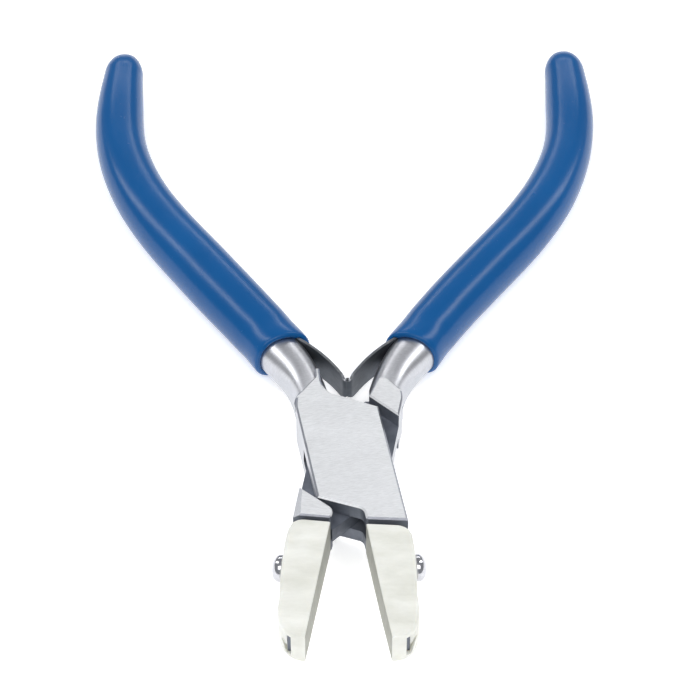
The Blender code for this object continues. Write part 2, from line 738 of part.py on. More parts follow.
# tongue half: handle on the right, jaw on the left
tongue = finish(prism(tongue_outline(), MID - TONGUE_T / 2, MID + TONGUE_T / 2), "tongue_half", PLIERS, TONGUE_TURN)
boolean(tongue, finish(prism(neck_outline(), LOW, HIGH, BODY_CHAMFER), "tongue_neck", CUTTERS, TONGUE_TURN), "UNION")
boolean(tongue, finish(prism(ear_outline(), LOW, HIGH, BODY_CHAMFER), "tongue_ear", CUTTERS, TONGUE_TURN), "UNION")
boolean(tongue, finish(steel_handle(1, start=15.0), "tongue_handle", CUTTERS, TONGUE_TURN), "UNION")
boolean(tongue, finish(core_loft("left", -1), "tongue_jaw_blade", CUTTERS, TONGUE_TURN), "UNION")
boolean(tongue, finish(cylinder(PIN_R + PIN_RUN, LOW - 1, HIGH + 1), "tongue_bore", CUTTERS, TONGUE_TURN), "DIFFERENCE")
boolean(tongue, finish(screw_hole("left", -1, SCREW_R + SCREW_FIT, 0.3), "tongue_screw_hole", CUTTERS, TONGUE_TURN), "DIFFERENCE")
boolean(tongue, finish(seat_cutter(1), "tongue_spring_seat", CUTTERS, TONGUE_TURN), "DIFFERENCE")

finish(cylinder(PIN_R, LOW, HIGH), "pivot_pin", PLIERS, BOX_TURN)

for name, side, place in (("left", -1, BOX_TURN), ("right", 1, TONGUE_TURN)):
    grip = finish(grip_body(side, name), name + "_grip", PLIERS, place)
    hollow = finish(
        steel_handle(side, grow=GRIP_FIT, start=GRIP_MOUTH - 6.0, end=STEEL_END, steps=22),
        name + "_grip_hollow", CUTTERS, place)
    boolean(grip, finish(blade_pocket(side), name + "_grip_slot", CUTTERS, place), "DIFFERENCE")
    boolean(grip, hollow, "DIFFERENCE")

    hinge, heading = spring_root(side)
    world = place @ Vector((hinge[0], hinge[1], 0))
    blade = finish(spring_blade(side), name + "_spring", PLIERS, place, (world.x, world.y))
    eye = cylinder(SPRING_RIVET_R + 0.06, -2.0, 2.0, facets=20)
    eye.data.transform(seat_matrix(side, SPRING_RIVET_AT))
    boolean(blade, finish(eye, name + "_spring_eye", CUTTERS, place), "DIFFERENCE")

    # rivet: domed head over the blade, shank through it into the handle
    half = SPRING_T / 2
    top = half + 0.03
    rivet = revolved([(0.0, -2.2), (SPRING_RIVET_R, -2.2), (SPRING_RIVET_R, top), (SPRING_RIVET_HEAD_R, top),
                      (SPRING_RIVET_HEAD_R * 0.8, top + SPRING_RIVET_HEAD_T * 0.75),
                      (0.0, top + SPRING_RIVET_HEAD_T)], 20)
    rivet.data.transform(seat_matrix(side, SPRING_RIVET_AT))
    finish(rivet, name + "_spring_rivet", PLIERS, place)
    hole = cylinder(SPRING_RIVET_R + 0.05, -2.4, 2.0, facets=20)
    hole.data.transform(seat_matrix(side, SPRING_RIVET_AT))
    boolean(box if side < 0 else tongue, finish(hole, name + "_rivet_hole", CUTTERS, place), "DIFFERENCE")

for name, side, place in (("left", -1, TONGUE_TURN), ("right", 1, BOX_TURN)):
    jaw = finish(nylon_body(name, side), name + "_nylon_jaw", PLIERS, place)
    pocket = finish(core_loft(name, side, CORE_FIT, start=-12.0, end=JAW_TIP - 1.0),
                    name + "_nylon_pocket", CUTTERS, place)
    boolean(jaw, pocket, "DIFFERENCE")
    boolean(jaw, finish(screw_hole(name, side, SCREW_R + SCREW_FIT, 0.3), name + "_nylon_hole", CUTTERS, place),
            "DIFFERENCE")
    screw = revolved(screw_profile(name), 28)
    recess = prism([(-RECESS_R, -RECESS_W / 2), (-RECESS_W / 2, -RECESS_W / 2), (-RECESS_W / 2, -RECESS_R),
                    (RECESS_W / 2, -RECESS_R), (RECESS_W / 2, -RECESS_W / 2), (RECESS_R, -RECESS_W / 2),
                    (RECESS_R, RECESS_W / 2), (RECESS_W / 2, RECESS_W / 2), (RECESS_W / 2, RECESS_R),
                    (-RECESS_W / 2, RECESS_R), (-RECESS_W / 2, RECESS_W / 2), (-RECESS_R, RECESS_W / 2)],
                   SCREW_HEAD_H - RECESS_DEPTH, SCREW_HEAD_H + 1.0)
    recess.data.transform(Matrix.Rotation(math.radians(35), 4, "Z"))
    recess.data.transform(screw_matrix(name, side))
    screw.data.transform(screw_matrix(name, side))
    screw = finish(screw, name + "_jaw_screw", PLIERS, place)
    boolean(screw, finish(recess, name + "_screw_recess", CUTTERS, place), "DIFFERENCE")

bpy.context.view_layer.update()
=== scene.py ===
import json
import math

import bmesh
import bpy
import numpy as np
from mathutils import Matrix, Vector

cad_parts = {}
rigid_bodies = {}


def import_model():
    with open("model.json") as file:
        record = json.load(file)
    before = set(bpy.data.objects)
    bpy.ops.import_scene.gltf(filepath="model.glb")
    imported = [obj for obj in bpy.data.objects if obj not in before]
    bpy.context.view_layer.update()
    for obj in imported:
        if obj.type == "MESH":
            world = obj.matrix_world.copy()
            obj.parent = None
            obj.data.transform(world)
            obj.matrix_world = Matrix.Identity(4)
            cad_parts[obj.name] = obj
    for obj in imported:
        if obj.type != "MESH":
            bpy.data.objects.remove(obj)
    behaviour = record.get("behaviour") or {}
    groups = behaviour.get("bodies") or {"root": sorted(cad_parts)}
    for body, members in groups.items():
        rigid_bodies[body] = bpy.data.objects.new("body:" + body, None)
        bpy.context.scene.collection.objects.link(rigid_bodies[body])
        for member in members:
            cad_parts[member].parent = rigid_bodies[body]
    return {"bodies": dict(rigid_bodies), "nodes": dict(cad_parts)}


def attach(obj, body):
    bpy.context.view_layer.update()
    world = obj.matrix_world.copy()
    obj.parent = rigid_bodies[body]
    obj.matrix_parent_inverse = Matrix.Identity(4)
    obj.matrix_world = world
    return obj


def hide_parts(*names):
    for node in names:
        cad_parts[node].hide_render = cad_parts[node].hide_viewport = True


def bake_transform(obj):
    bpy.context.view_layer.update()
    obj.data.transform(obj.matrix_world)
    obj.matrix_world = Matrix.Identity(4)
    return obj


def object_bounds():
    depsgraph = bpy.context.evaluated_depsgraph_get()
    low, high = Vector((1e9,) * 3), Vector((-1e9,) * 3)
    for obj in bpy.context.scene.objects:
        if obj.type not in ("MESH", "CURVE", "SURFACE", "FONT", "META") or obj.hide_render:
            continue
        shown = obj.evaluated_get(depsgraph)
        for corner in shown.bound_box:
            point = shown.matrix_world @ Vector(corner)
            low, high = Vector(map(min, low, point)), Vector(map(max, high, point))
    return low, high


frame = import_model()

CAD_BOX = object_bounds()
MM = 0.001
REST = 10.3
T = 9.6
MID = T / 2
W = 7.2

for name in ("box_side", "tongue_side"):
    assert name in frame["bodies"], name


# ------------------------------------------------------------------ numbers
def curve_of(rows, sigma=1.6):
    """Smooth function through rows of (height, value, ...), rounded off over sigma mm."""
    rows = sorted(rows)
    ys = np.array([r[0] for r in rows], float)
    vals = np.array([r[1:] for r in rows], float)
    grid = np.arange(ys[0], ys[-1] + 1e-9, 0.25)
    out = []
    for k in range(vals.shape[1]):
        v = vals[:, k]
        d = np.gradient(v, ys)
        i = np.clip(np.searchsorted(ys, grid, side="right") - 1, 0, len(ys) - 2)
        h = ys[i + 1] - ys[i]
        u = (grid - ys[i]) / h
        cub = ((2 * u**3 - 3 * u**2 + 1) * v[i] + (u**3 - 2 * u**2 + u) * d[i] * h
               + (-2 * u**3 + 3 * u**2) * v[i + 1] + (u**3 - u**2) * d[i + 1] * h)
        n = int(round(3 * sigma / 0.25))
        kern = np.exp(-0.5 * (np.arange(-n, n + 1) * 0.25 / sigma) ** 2)
        kern /= kern.sum()
        left = 2 * cub[0] - cub[1:n + 1][::-1]
        right = 2 * cub[-1] - cub[-n - 1:-1][::-1]
        out.append(np.convolve(np.concatenate([left, cub, right]), kern, mode="valid"))
    def read(y):
        return [float(np.interp(y, grid, o)) for o in out]
    return read


HANDLE_LINE = curve_of((
    (9.0, 3.6), (14.0, 3.6), (18.0, 3.75), (22.0, 4.35), (26.0, 5.5), (30.0, 7.0),
    (38.3, 10.6), (51.7, 16.9), (65.5, 23.2), (72.4, 25.6), (79.2, 27.1),
    (85.9, 27.75), (92.6, 27.4), (99.1, 26.3), (105.2, 25.0), (110.0, 23.8), (114.0, 22.8),
))
STEEL = curve_of((
    (9.0, 3.2, 4.72, 0.0), (15.5, 3.25, 4.72, 0.0), (18.0, 3.25, 4.48, 0.0), (22.0, 3.4, 4.22, 0.0), (26.0, 3.85, 4.08, 0.1),
    (30.0, 4.2, 3.95, 0.25), (40.0, 4.1, 3.8, 0.15), (65.0, 3.7, 3.5, 0.0), (90.0, 3.1, 3.1, 0.0), (107.0, 2.6, 2.6, 0.0),
), 1.2)
GRIPS = {
    "left": curve_of((
        (26.0, 5.4, 5.15), (38.0, 5.4, 5.15), (46.0, 5.5, 5.19), (60.0, 5.4, 5.15),
        (72.0, 5.1, 4.95), (86.0, 4.78, 4.75), (99.0, 4.45, 4.4), (107.0, 3.8, 3.9))),
    "right": curve_of((
        (26.0, 5.15, 5.05), (38.0, 5.0, 5.0), (46.0, 5.05, 5.0), (60.0, 5.05, 5.0),
        (72.0, 4.9, 4.9), (86.0, 4.6, 4.7), (99.0, 4.45, 4.4), (107.0, 3.9, 3.9))),
}
MOUTH = 28.6
TIP_Y = 112.6
DOME, SWEEP, TILT = 6.0, 0.5, 1.5


# ------------------------------------------------------------------ mesh tools
def new_object(name, mesh):
    obj = bpy.data.objects.new(name, mesh)
    bpy.context.scene.collection.objects.link(obj)
    return obj


def clean(mesh, dist=0.000002):
    bm = bmesh.new()
    bm.from_mesh(mesh)
    bmesh.ops.remove_doubles(bm, verts=bm.verts, dist=dist)
    bmesh.ops.dissolve_degenerate(bm, edges=bm.edges, dist=dist)
    bmesh.ops.recalc_face_normals(bm, faces=bm.faces)
    if bm.calc_volume(signed=True) < 0:
        bmesh.ops.reverse_faces(bm, faces=bm.faces)
    bm.to_mesh(mesh)
    bm.free()
    return mesh


def skin(rings, name="loft"):
    """Closed skin over equal rings of (x, y, z) in millimetres."""
    n = len(rings[0])
    verts = [(p[0] * MM, p[1] * MM, p[2] * MM) for ring in rings for p in ring]
    faces = []
    for r in range(len(rings) - 1):
        for i in range(n):
            j = (i + 1) % n
            faces.append((r * n + i, r * n + j, (r + 1) * n + j, (r + 1) * n + i))
    faces.append(tuple(range(n))[::-1])
    faces.append(tuple(range((len(rings) - 1) * n, len(rings) * n)))
    mesh = bpy.data.meshes.new(name)
    mesh.from_pydata(verts, [], faces)
    return new_object(name, clean(mesh))


def prism(points, low, high, chamfer=0.0, steps=0, name="prism"):
    """Extruded outline with chamfered or rounded rims, from a filled 2D curve."""
    curve = bpy.data.curves.new(name, "CURVE")
    curve.dimensions = "2D"
    curve.fill_mode = "BOTH"
    spline = curve.splines.new("POLY")
    spline.points.add(len(points) - 1)
    for p, (x, y) in zip(spline.points, points):
        p.co = (x * MM, y * MM, 0, 1)
    spline.use_cyclic_u = True
    curve.extrude = ((high - low) / 2 - chamfer) * MM
    curve.bevel_depth = chamfer * MM
    curve.bevel_resolution = steps
    curve.offset = -chamfer * MM
    source = new_object(name, curve)
    bpy.context.view_layer.update()
    mesh = bpy.data.meshes.new_from_object(source.evaluated_get(bpy.context.evaluated_depsgraph_get()))
    bpy.data.objects.remove(source, do_unlink=True)
    mesh.transform(Matrix.Translation((0, 0, (low + high) / 2 * MM)))
    return new_object(name, clean(mesh, 0.000005))


def disc_prism(radius, low, high, facets=96):
    return prism([(radius * math.cos(2 * math.pi * i / facets), radius * math.sin(2 * math.pi * i / facets))
                  for i in range(facets)], low, high)


def combine(base, steps, name):
    """Runs exact Booleans in order, and leaves one plain mesh object."""
    for kind, operand in steps:
        mod = base.modifiers.new(kind, "BOOLEAN")
        mod.operation = kind
        mod.solver = "EXACT"
        mod.object = operand
    bpy.context.view_layer.update()
    mesh = bpy.data.meshes.new_from_object(base.evaluated_get(bpy.context.evaluated_depsgraph_get()))
    for o in [base] + [s[1] for s in steps]:
        if o.name in bpy.data.objects:
            bpy.data.objects.remove(o, do_unlink=True)
    mesh.name = name
    bm = bmesh.new()
    bm.from_mesh(mesh)
    bmesh.ops.remove_doubles(bm, verts=bm.verts, dist=0.000003)
    bmesh.ops.dissolve_degenerate(bm, edges=bm.edges, dist=0.000002)
    bmesh.ops.holes_fill(bm, edges=[e for e in bm.edges if len(e.link_faces) == 1], sides=6)
    open_edges = sum(1 for e in bm.edges if len(e.link_faces) != 2)
    print("BODY", name, len(bm.faces), "volume", round(bm.calc_volume(signed=True) * 1e9, 2), "open edges", open_edges)
    bm.to_mesh(mesh)
    bm.free()
    return new_object(name, mesh)


def revolve(points, facets, name="turned"):
    """Turned solid about Z from a half outline in millimetres."""
    mesh = bpy.data.meshes.new(name)
    mesh.from_pydata([(x * MM, 0, z * MM) for x, z in points], [(i, i + 1) for i in range(len(points) - 1)], [])
    obj = new_object(name, mesh)
    mod = obj.modifiers.new("turned", "SCREW")
    mod.steps = mod.render_steps = facets
    mod.use_merge_vertices = True
    mod.merge_threshold = 0.000001
    bpy.context.view_layer.update()
    solid = bpy.data.meshes.new_from_object(obj.evaluated_get(bpy.context.evaluated_depsgraph_get()))
    bpy.data.objects.remove(obj, do_unlink=True)
    return new_object(name, clean(solid))


def shade(obj, angle=28.0):
    """Smooth faces, with edges over the angle kept sharp."""
    bm = bmesh.new()
    bm.from_mesh(obj.data)
    limit = math.radians(angle)
    for f in bm.faces:
        f.smooth = True
    for e in bm.edges:
        e.smooth = len(e.link_faces) == 2 and e.calc_face_angle(0.0) < limit
    bm.to_mesh(obj.data)
    bm.free()


def place(obj, angle):
    obj.data.transform(Matrix.Rotation(math.radians(angle), 4, "Z"))
    return obj


def superellipse(a, b, power, count):
    out = []
    for i in range(count):
        t = 2 * math.pi * i / count
        c, s = math.cos(t), math.sin(t)
        out.append((a * math.copysign(abs(c) ** (2 / power), c), b * math.copysign(abs(s) ** (2 / power), s)))
    return out


def rounded(points, radii, count=9):
    out = []
    n = len(points)
    for i, (p, r) in enumerate(zip(points, radii)):
        if r <= 0:
            out.append(tuple(p))
            continue
        a, b, q = Vector(points[i - 1]), Vector(points[(i + 1) % n]), Vector(p)
        start = q + (a - q).normalized() * r
        end = q + (b - q).normalized() * r
        for k in range(count):
            t = k / (count - 1)
            out.append(tuple(start * (1 - t) ** 2 + q * 2 * t * (1 - t) + end * t * t))
    return out


# ------------------------------------------------------------------ handles and grips
def centre(y, side):
    """Distance of a handle's centreline from the middle, with each side's small unevenness."""
    return HANDLE_LINE(y)[0] + (-0.45 if side > 0 else 0.2) * math.exp(-((y - 43.0) / 13.0) ** 2)


def heading(y, side):
    return math.atan2(centre(y + 0.5, side) - centre(y - 0.5, side), 1.0)


def ring_at(y, a, b, power, side, count, along=0.0, sweep=0.0, tilt=0.0, shift=0.0):
    x = centre(y, side)
    h = heading(y, side)
    out = []
    for u, v in superellipse(a, b, power, count):
        s = along + sweep * (v / b) ** 2 + tilt * 0.5 * (1 + u / a)
        u = u + shift
        out.append((side * (x + u * math.cos(h) + s * math.sin(h)), y - u * math.sin(h) + s * math.cos(h), MID + v))
    return out


def steel_handle(side, grow=0.0, start=11.0, end=104.5, count=72, steps=90):
    rings = []
    for i in range(steps):
        f = i / (steps - 1)
        y = start + (end - start) * (0.45 * f + 0.55 * f * f)
        a, b, shift = STEEL(y)
        fade = min(1.0, max(0.0, (31.0 - y) / 14.0))
        fade = fade * fade * (3 - 2 * fade)
        rings.append(ring_at(y, a + grow, b + grow, 2.2 + 0.25 * fade, side, count, shift=shift))
    a, b, shift = STEEL(end)
    for k in range(1, 7):
        t = math.radians(85 * k / 6)
        rings.append(ring_at(end, (a + grow) * math.cos(t), (b + grow) * math.cos(t), 2.25, side, count,
                             along=(a * 0.6 + grow) * math.sin(t)))
    return skin(rings)


def grip_solid(side, name, count=96, steps=150):
    read = GRIPS[name]
    rings = []
    lip = 0.62
    a, b = read(MOUTH)
    for k in range(9):
        t = math.radians(-70 + 160 * k / 8)
        inset = lip * (1 - math.sin(t))
        rings.append(ring_at(MOUTH, a - inset, b - inset, 2.25, side, count, along=-lip * math.cos(t),
                             sweep=SWEEP, tilt=TILT))
    start, end = MOUTH + 0.5, TIP_Y - DOME
    for i in range(steps):
        y = start + (end - start) * i / (steps - 1)
        a, b = read(y)
        swell = 0.02 * math.exp(-((y - start) / 2.2) ** 2) - 0.10 * math.exp(-((y - start - 3.6) / 2.2) ** 2)
        fade = max(0.0, 1 - (y - start) / 14)
        rings.append(ring_at(y, a + swell, b + swell, 2.25, side, count, sweep=SWEEP * fade, tilt=TILT * fade))
    a, b = read(end)
    for k in range(1, 16):
        t = math.radians(90 * k / 16)
        rings.append(ring_at(end, a * math.cos(t), b * math.cos(t), 2.25, side, count, along=DOME * math.sin(t)))
    return skin(rings)


# ------------------------------------------------------------------ springs
SPRING_T, ROOT_HW, TIP_HW = 0.5, 3.4, 2.95


def spring_root(side):
    y = 28.5
    x = centre(y, side)
    h = heading(y, side)
    a, b, shift = STEEL(y)
    off = a - shift - 1.15 + SPRING_T / 2 + 0.08
    return Vector((side * (x - off * math.cos(h)), y + off * math.sin(h))), h


def spring_path(side, curl=True, thick=SPRING_T):
    """Blade centreline from the tail to the tip as (x, y, half width), pliers closed."""
    root, h = spring_root(side)
    rows = []
    for s in (3.4, 2.4, 1.4, 0.6):
        rows.append((root.x + side * s * math.sin(h), root.y + s * math.cos(h), ROOT_HW))
    b = math.radians(31.3)
    reach, bow = 12.55, 0.75
    n = 30
    for k in range(n + 1):
        t = k / n
        off = bow * 4 * t * (1 - t)
        rows.append((root.x - side * (reach * t * math.sin(b) + off * math.cos(b)),
                     root.y - reach * t * math.cos(b) + off * math.sin(b),
                     ROOT_HW + (TIP_HW - ROOT_HW) * t))
    return rows


def blade(side, name):
    rows = spring_path(side)
    # free end: corners rounded off and the last millimetre hemmed back toward the handle
    x0, y0, w0 = rows[-1]
    x1, y1, _ = rows[-3]
    d = Vector((x0 - x1, y0 - y1)).normalized()
    toward = Vector((d.y, -d.x)) * side          # toward the handle side
    r = 0.42
    kept = [q for q in rows if (Vector((x0, y0)) - Vector(q[:2])).dot(d) > 1.6]
    for back in (1.4, 1.2, 1.0, 0.8, 0.65, 0.5):
        q = Vector((x0, y0)) - d * back
        kept.append((q.x, q.y, w0 - 1.0 * (1 - math.sqrt(max(0.0, 1 - ((1.5 - back) / 1.2) ** 2)))))
    start = Vector((x0, y0)) - d * 0.5
    w0 = kept[-1][2]
    centre = start - toward * -r
    path = list(kept)
    for k in range(1, 13):
        a = math.radians(195 * k / 12)
        p = centre + (-toward * math.cos(a) + d * math.sin(a)) * r
        w = w0 - 0.5 * min(1.0, k / 6)
        path.append((p.x, p.y, w))
    rings = []
    c = 0.07
    for i, (x, y, w) in enumerate(path):
        a = path[max(i - 1, 0)]
        b = path[min(i + 1, len(path) - 1)]
        t = Vector((b[0] - a[0], b[1] - a[1])).normalized()
        n = Vector((-t.y, t.x))
        h = SPRING_T / 2
        section = [(h, w - c), (h - c, w), (-h + c, w), (-h, w - c), (-h, -w + c), (-h + c, -w), (h - c, -w), (h, -w + c)]
        rings.append([(x + n.x * u, y + n.y * u, MID + v) for u, v in section])
    return skin(rings, name)


def strip_prism(side, low_row, high_row, room, hw):
    rows = [Vector(r[:2]) for r in spring_path(side)][low_row:high_row]
    rows[0] = rows[0] + (rows[0] - rows[1]).normalized() * 0.3
    one, other = [], []
    for i, q in enumerate(rows):
        t = (rows[min(i + 1, len(rows) - 1)] - rows[max(i - 1, 0)]).normalized()
        n = Vector((-t.y, t.x)) * (SPRING_T / 2 + room)
        one.append(tuple(q + n))
        other.append(tuple(q - n))
    return prism(one + other[::-1], MID - hw, MID + hw)


def seat_cutter(side):
    root, h = spring_root(side)
    u = Vector((side * math.sin(h), math.cos(h)))
    n = Vector((-side * math.cos(h), math.sin(h)))
    under = SPRING_T / 2 + 0.05
    top = root + u * 9.0
    p = [top + n * 4, top - n * under, root - n * under]
    rows = [Vector(r[:2]) for r in spring_path(side)]
    for i in range(5, 17):
        t = (rows[i + 1] - rows[i - 1]).normalized()
        away = Vector((t.y, -t.x)) * side
        p.append(rows[i] - away * (under + 0.01 * (i - 4)))
    p.append(p[-1] + n * 5)
    return prism([tuple(q) for q in p], MID - 7.0, MID + 7.0)


# ------------------------------------------------------------------ joint outlines
def top_edge(x):
    return 14.3 - 0.62 * x


def low_edge(x):
    return -12.65 - 0.56 * x


def wall_y(x, sign, gap=0.0):
    return sign * (4.9 + 1.45 * (W + sign * x) - gap * math.hypot(1.0, 1.45))


def box_outline():
    points = [(-W, low_edge(-W)), (-W, 12.6), (-6.62, 14.95), (-2.55, 18.8), (-2.3, 20.8), (-1.5, 20.8), (-1.75, 16.9),
              (-0.85, top_edge(-0.85)), (W, top_edge(W)), (W, -16.6), (0.2, -14.9), (0.15, low_edge(0.15))]
    return rounded(points, (0, 0.8, 0.4, 0.3, 0.3, 0.3, 0.8, 0.8, 0, 0, 0.35, 0.9))


def neck_outline():
    g = 0.32
    points = [(1.25, top_edge(1.25) + g), (W, top_edge(W) + g), (W, 14.6), (6.72, 16.2), (3.75, 18.65),
              (2.3, 18.65)]
    return rounded(points, (0, 0, 0.7, 0.4, 0.4, 0.3))


def neck_bound():
    """Area of the right half's neck: above the shoulder and outside its inner line."""
    g = 0.75
    return [(1.3, top_edge(1.3) + g), (W + 9, top_edge(W + 9) + g), (80, 0), (80, 160), (-60, 160), (-60, 24), (0.0, 20.0), (0.5, 18.2)]


def ear_outline():
    g = 0.32
    points = [(-W, low_edge(-W) - g), (-W, -15.15), (-0.6, -14.7), (-0.5, low_edge(-0.5) - g)]
    return rounded(points, (0, 0, 0.5, 1.2))


def slot_outline():
    w = W + 3.0
    return [(-w, wall_y(-W, 1) - 4.35), (-0.2, wall_y(-0.2, 1)), (1.8, wall_y(-0.2, 1) + 12.0),
            (w, wall_y(-0.2, 1) + 12.0), (w, wall_y(W, -1) + 4.35), (0.2, wall_y(0.2, -1)),
            (-1.8, wall_y(0.2, -1) - 12.0), (-w, wall_y(0.2, -1) - 12.0)]


def tongue_outline():
    g = 0.3
    return [(-W, wall_y(-W, 1, g)), (0.35, wall_y(0.35, 1, g) - 0.3), (1.35, 15.2), (3.0, 15.6), (W, 15.0),
            (W, wall_y(W, -1, g)), (-0.35, wall_y(-0.35, -1, g) + 0.3), (-0.9, -14.3), (-W, -14.6)]


# ------------------------------------------------------------------ jaws
NYLON = {
    "left": ((-15.3, 0.62, 7.35), (-18.0, 0.62, 7.6), (-24.0, 0.62, 7.4), (-29.0, 0.62, 6.9), (-32.5, 0.62, 6.4)),
    "right": ((-15.7, 0.0, 7.2), (-18.0, -0.04, 7.4), (-22.0, -0.1, 7.22), (-27.0, -0.18, 6.6), (-31.5, -0.24, 5.75)),
}
SLANT = {"left": 0.06, "right": 0.25}
TIP_FLAT = {"left": 1.9, "right": 1.7}
JAW_TIP = -39.8


def core_ring(name, side, y, grow):
    t = (y + 13.0) / (JAW_TIP + 13.0)
    tip_c = NYLON[name][-1][1] + 2.85
    c = 4.1 + (tip_c - 4.1) * t
    w = 1.9 + (0.26 - 1.9) * t + grow
    h = 3.0 + (2.35 - 3.0) * t + grow
    return [(side * (c + u * w), y, MID + v * h) for u, v in ((1, 1), (-1, 1), (-1, -1), (1, -1))]


def core(name, side, grow=0.0, start=-13.0, end=JAW_TIP + 1.0):
    return skin([core_ring(name, side, start + (end - start) * i / 2, grow) for i in range(3)])


def nylon_solid(name, side):
    rows = NYLON[name]
    read = curve_of([(-r[0], r[1], r[2]) for r in rows] + [(-rows[0][0] - 0.01, rows[0][1], rows[0][2])][:0], 0.9)
    stations = []
    y0, i0, o0 = rows[0]
    r = 1.5
    for k in range(10):
        t = math.radians(90 * k / 9)
        stations.append((y0 - r * (1 - math.cos(t)), i0, o0 - r * (1 - math.sin(t))))
    y = y0 - r - 0.6
    while y > rows[-1][0] + 0.3:
        inner, outer = read(-y)
        stations.append((y, inner, outer))
        y -= 0.9
    ye, ie, oe = rows[-1]
    flat = TIP_FLAT[name]
    n = 26
    for k in range(n + 1):
        t = math.radians(90 * k / n)
        stations.append((ye + (JAW_TIP - ye) * math.sin(t), ie, flat + (oe - flat) * max(0.0, math.cos(t)) ** 0.9))
    rings = []
    for y, inner, outer in stations:
        t = (y - y0) / (JAW_TIP - y0)
        half = 4.2 + (3.45 - 4.2) * t
        fade = max(0.0, 1 - (y0 - y) / 5.0)
        rr = min(0.7, (outer - inner) * 0.45)
        ring = []
        for cx, cz, a0, rad in ((outer - rr, half - rr, 0, rr), (inner + 0.35, half - 0.35, 90, 0.35),
                                (inner + 0.35, -half + 0.35, 180, 0.35), (outer - rr, -half + rr, 270, rr)):
            for k in range(8):
                a = math.radians(a0 + 90 * k / 7)
                x = cx + rad * math.cos(a)
                ring.append((side * x, y - SLANT[name] * fade * (x - inner), MID + cz + rad * math.sin(a)))
        rings.append(ring)
    return skin(rings)


def tip_pocket(name, side):
    """Sloped recess beside the blade's end, in the nylon's rounded outer corner."""
    c = NYLON[name][-1][1] + 2.85
    rings = []
    for v, wide in ((2.5, 2.5), (0.8, 1.9), (-0.8, 1.3), (-2.3, 0.6)):
        rings.append([(side * (c - 0.1), -42.0, MID + v), (side * (c - 0.1), -38.95, MID + v),
                      (side * (c + 0.5), -38.7, MID + v), (side * (c + wide), -37.9, MID + v), (side * (c + wide), -42.0, MID + v)])
    return skin(rings)


def seat_of(name):
    read = curve_of([(-r[0], r[2]) for r in NYLON[name]], 0.9)
    here = read(23.5)[0]
    return here, math.degrees(math.atan2(read(22.5)[0] - read(24.5)[0], 2.0))


def screw_matrix(name, side):
    here, lean = seat_of(name)
    return (Matrix.Translation((side * (here + 0.03) * MM, -23.5 * MM, MID * MM))
            @ Matrix.Rotation(math.radians(-side * lean), 4, "Z") @ Matrix.Rotation(math.radians(side * 90.0), 4, "Y"))


def screw_bore(name, side):
    obj = disc_prism(1.31, -(seat_of(name)[0] - 2.75 + 0.3), 1.0, 48)
    obj.data.transform(screw_matrix(name, side))
    return obj


# ------------------------------------------------------------------ materials
def tree(name):
    m = bpy.data.materials.new(name)
    m.use_nodes = True
    nt = m.node_tree
    return m, nt, nt.nodes, nt.links, nt.nodes["Principled BSDF"]


def node(nodes, kind, **values):
    n = nodes.new(kind)
    for k, v in values.items():
        setattr(n, k, v)
    return n


def coords(nodes, links, angle=0.0, scale=(1, 1, 1)):
    """Object coordinates turned about Z and stretched, so a grain can run along a half."""
    tc = node(nodes, "ShaderNodeTexCoord")
    mp = node(nodes, "ShaderNodeMapping")
    mp.inputs["Rotation"].default_value = (0, 0, math.radians(angle))
    turned = node(nodes, "ShaderNodeMapping")
    turned.inputs["Scale"].default_value = scale
    links.new(tc.outputs["Object"], mp.inputs["Vector"])
    links.new(mp.outputs["Vector"], turned.inputs["Vector"])
    return turned.outputs["Vector"]


def noise(nodes, links, vector, scale, detail=4.0, rough=0.55):
    n = node(nodes, "ShaderNodeTexNoise")
    n.inputs["Scale"].default_value = scale
    n.inputs["Detail"].default_value = detail
    n.inputs["Roughness"].default_value = rough
    links.new(vector, n.inputs["Vector"])
    return n.outputs["Fac"]


def ramp(nodes, links, fac, stops):
    r = node(nodes, "ShaderNodeValToRGB")
    els = r.color_ramp.elements
    els[0].position, els[0].color = stops[0][0], (*stops[0][1], 1)
    els[1].position, els[1].color = stops[-1][0], (*stops[-1][1], 1)
    for pos, col in stops[1:-1]:
        e = els.new(pos)
        e.color = (*col, 1)
    links.new(fac, r.inputs["Fac"])
    return r.outputs["Color"]


def span(nodes, links, fac, low, high):
    m = node(nodes, "ShaderNodeMapRange")
    m.inputs["From Min"].default_value = 0.25
    m.inputs["From Max"].default_value = 0.75
    m.inputs["To Min"].default_value = low
    m.inputs["To Max"].default_value = high
    links.new(fac, m.inputs["Value"])
    return m.outputs["Result"]


def bump(nodes, links, height, strength, distance, before=None):
    b = node(nodes, "ShaderNodeBump")
    b.inputs["Strength"].default_value = strength
    b.inputs["Distance"].default_value = distance
    links.new(height, b.inputs["Height"])
    if before is not None:
        links.new(before, b.inputs["Normal"])
    return b.outputs["Normal"]


def steel(name, angle, tint=(0.70, 0.715, 0.74), rough=(0.50, 0.60), grain=(1, 14, 1), depth=0.00002):
    m, nt, nodes, links, b = tree(name)
    v = coords(nodes, links, angle, grain)
    fine = noise(nodes, links, v, 900.0, 6.0, 0.65)
    broad = noise(nodes, links, coords(nodes, links, angle, (1, 3, 1)), 90.0, 3.0)
    dark = tuple(c * 0.80 for c in tint)
    lite = tuple(min(1.0, c * 1.06) for c in tint)
    links.new(ramp(nodes, links, fine, ((0.3, dark), (0.7, lite))), b.inputs["Base Color"])
    b.inputs["Metallic"].default_value = 1.0
    links.new(span(nodes, links, broad, rough[0], rough[1]), b.inputs["Roughness"])
    links.new(bump(nodes, links, fine, 0.45, depth), b.inputs["Normal"])
    return m


